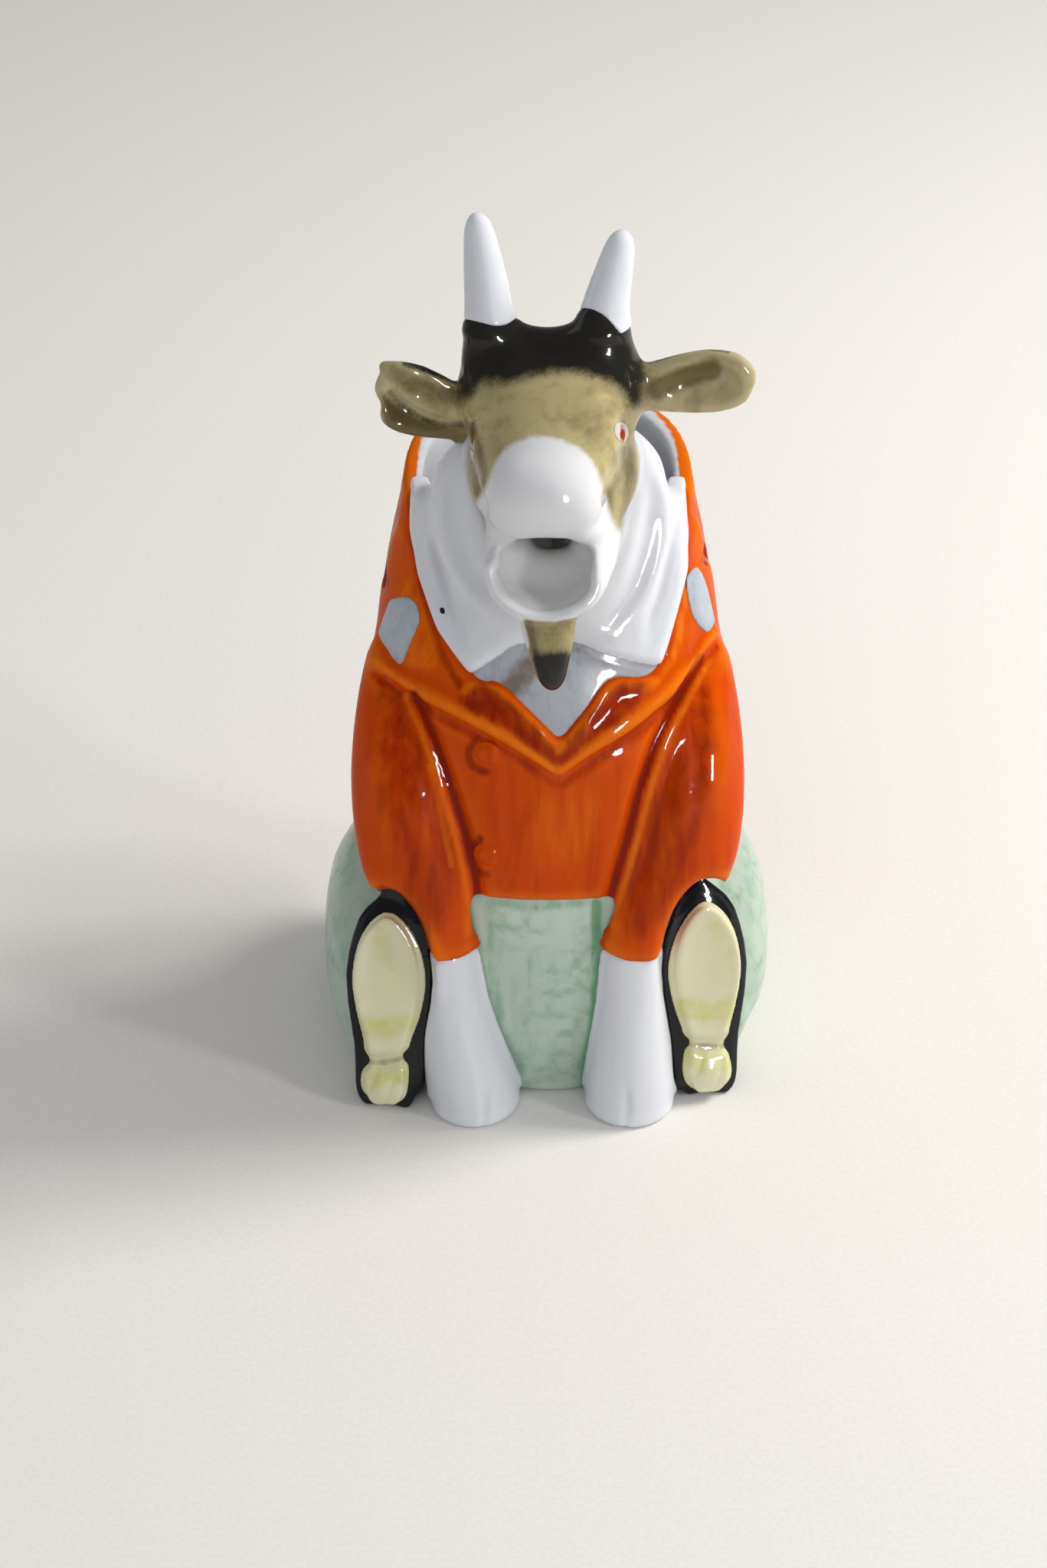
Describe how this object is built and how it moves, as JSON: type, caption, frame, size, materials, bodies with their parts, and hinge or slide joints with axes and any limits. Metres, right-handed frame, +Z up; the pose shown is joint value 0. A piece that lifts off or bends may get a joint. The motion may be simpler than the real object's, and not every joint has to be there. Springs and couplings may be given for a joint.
{
  "type": "goat creamer",
  "caption": "Glazed porcelain cream jug shaped as a seated goat in a coat: filled behind the neck, poured through the open mouth, held by a loop handle at the back.",
  "frame": {"origin": "on the table under the middle of the body, in the flat base's face", "axes": "+Z up; -Y the way the goat faces; +X to the right as seen from the front; metres"},
  "size_m": [0.0608, 0.0736, 0.1206],
  "materials": {
    "white_glaze": "gloss",
    "orange_enamel": "gloss",
    "mint_enamel": "gloss",
    "black_enamel": "gloss",
    "cream_enamel": "gloss",
    "taupe_enamel": "gloss",
    "shirt_enamel": "gloss",
    "flower_enamel": "gloss"
  },
  "bodies": {
    "root": {"base": "mint_enamel", "trouser_seat": "mint_enamel", "leg_left": "mint_enamel", "leg_right": "mint_enamel", "shoe_left": "black_enamel", "shoe_right": "black_enamel", "sole_left": "cream_enamel", "sole_right": "cream_enamel", "coat_body": "orange_enamel", "coat_buttons": "orange_enamel", "shirt_front": "shirt_enamel", "lapel_left": "orange_enamel", "lapel_right": "orange_enamel", "flower_left": "flower_enamel", "flower_right": "flower_enamel", "collar_left": "white_glaze", "collar_right": "white_glaze", "sleeve_left": "orange_enamel", "sleeve_right": "orange_enamel", "hoof_left": "white_glaze", "hoof_right": "white_glaze", "neck": "white_glaze", "head": "taupe_enamel", "horn_left": "white_glaze", "horn_right": "white_glaze", "ear_left": "taupe_enamel", "ear_right": "taupe_enamel", "eye_left": "white_glaze", "eye_right": "white_glaze", "beard": "taupe_enamel", "handle": "orange_enamel"}
  },
  "joints": []
}
